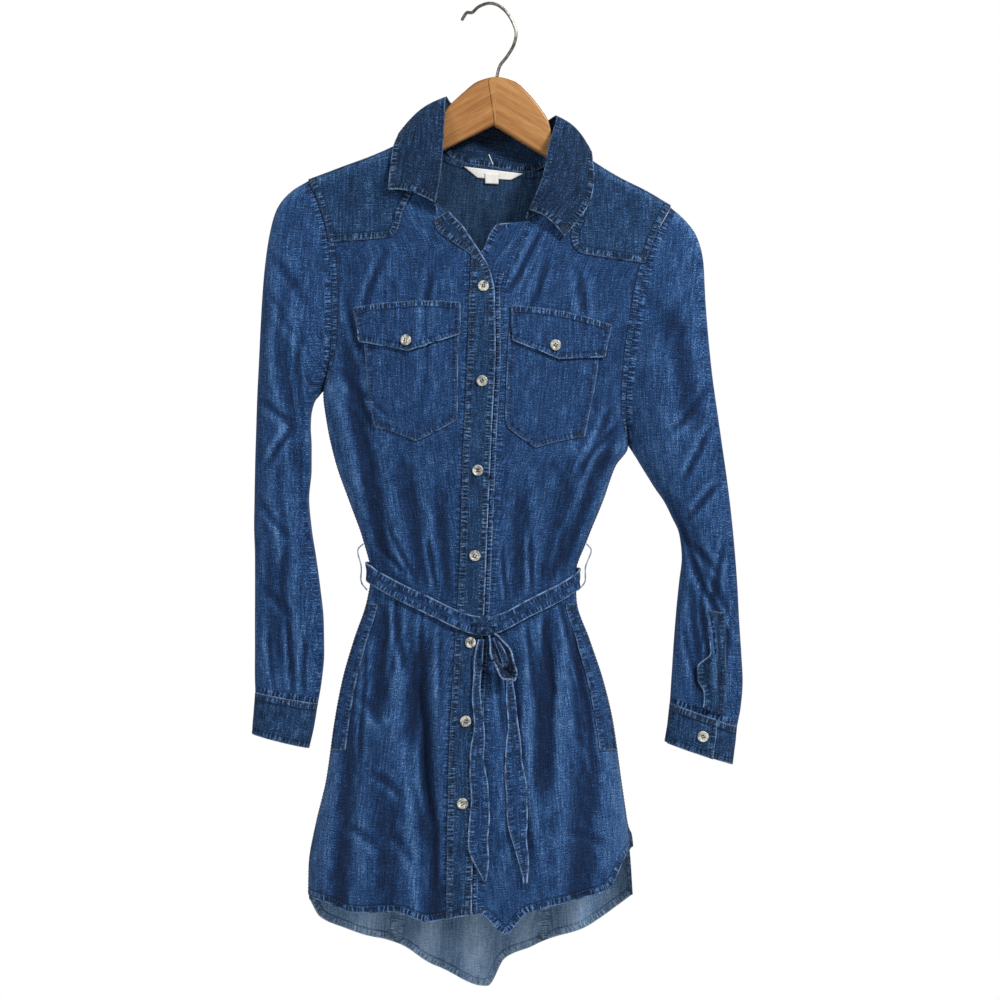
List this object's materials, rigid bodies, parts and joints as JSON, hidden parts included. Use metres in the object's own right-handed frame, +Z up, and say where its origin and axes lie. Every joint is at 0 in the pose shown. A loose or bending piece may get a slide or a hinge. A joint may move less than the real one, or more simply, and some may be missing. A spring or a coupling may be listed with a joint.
{
  "type": "shirt dress on a wooden hanger",
  "caption": "Long-sleeved button-front denim shirt dress with tie belt, shirt-tail hem and patch pockets, hollow, hung on a wooden hanger with a steel hook.",
  "frame": {"origin": "inside of the hook's bend, where it rests on a rail or pin", "axes": "+Z up, front of the dress faces -Y, +X is the wearer's left"},
  "size_m": [0.5125, 0.1324, 1.045],
  "materials": {
    "denim": "washed blue denim, soft twill",
    "denim_trim": "double-stitched washed denim, puckered at the seams",
    "button": "pearly cream with grey marbling",
    "label": "white satin tape, blank",
    "wood": "clear-lacquered honey wood with fine grain",
    "hook": "polished nickel-plated steel wire"
  },
  "bodies": {
    "root": {"front_right": "denim", "front_left": "denim", "back_centre": "denim", "back_side_right": "denim", "back_side_left": "denim", "sleeve_right": "denim", "sleeve_left": "denim", "pocket_right": "denim", "pocket_left": "denim", "collar": "denim", "yoke_right": "denim_trim", "yoke_left": "denim_trim", "placket_right": "denim_trim", "placket_left": "denim_trim", "flap_right": "denim_trim", "flap_left": "denim_trim", "welt_right": "denim_trim", "welt_left": "denim_trim", "collar_stand": "denim_trim", "cuff_right": "denim_trim", "cuff_left": "denim_trim", "sleeve_placket_right": "denim_trim", "sleeve_placket_left": "denim_trim", "belt": "denim_trim", "belt_knot": "denim_trim", "belt_loop": "denim_trim", "belt_tail_right": "denim_trim", "belt_tail_left": "denim_trim", "carrier_right": "denim_trim", "carrier_left": "denim_trim", "button_1": "button", "button_2": "button", "button_3": "button", "button_4": "button", "button_5": "button", "button_6": "button", "button_7": "button", "pocket_button_right": "button", "pocket_button_left": "button", "cuff_button_right": "button", "cuff_button_left": "button", "neck_label": "label", "size_tag": "label", "hanger_wood": "wood", "hanger_hook": "hook"}
  },
  "joints": []
}
